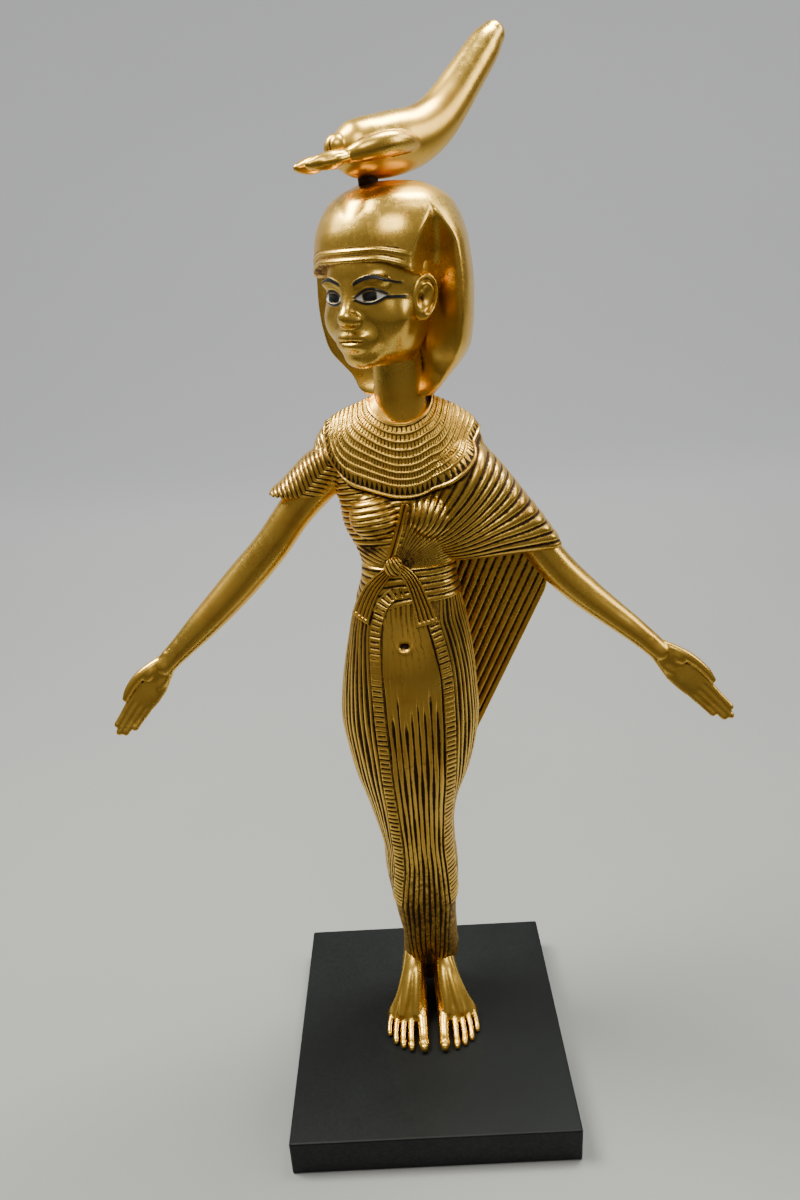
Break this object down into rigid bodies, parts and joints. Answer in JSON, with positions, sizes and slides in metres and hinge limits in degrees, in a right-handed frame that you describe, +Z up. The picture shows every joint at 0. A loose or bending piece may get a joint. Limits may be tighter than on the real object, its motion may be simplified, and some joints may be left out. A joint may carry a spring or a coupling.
{
  "type": "egyptian goddess statuette",
  "caption": "Standing gilded goddess statuette with open arms, pleated dress and shawl, broad collar, bag headcloth and scorpion emblem on the head, on a square black plinth.",
  "frame": {"origin": "centre of the plinth's underside", "axes": "+Z up, the figure's front faces -Y, and +X is the figure's left, the side with the shawl"},
  "size_m": [0.3125, 0.155, 0.5506],
  "materials": {
    "black_plinth": "matt black paint",
    "gold_leaf": "burnished gold leaf over reddish ground, dark brown patina in the grooves"
  },
  "bodies": {
    "root": {"plinth": "black_plinth", "figure": "gold_leaf", "head_emblem": "gold_leaf"}
  },
  "joints": []
}
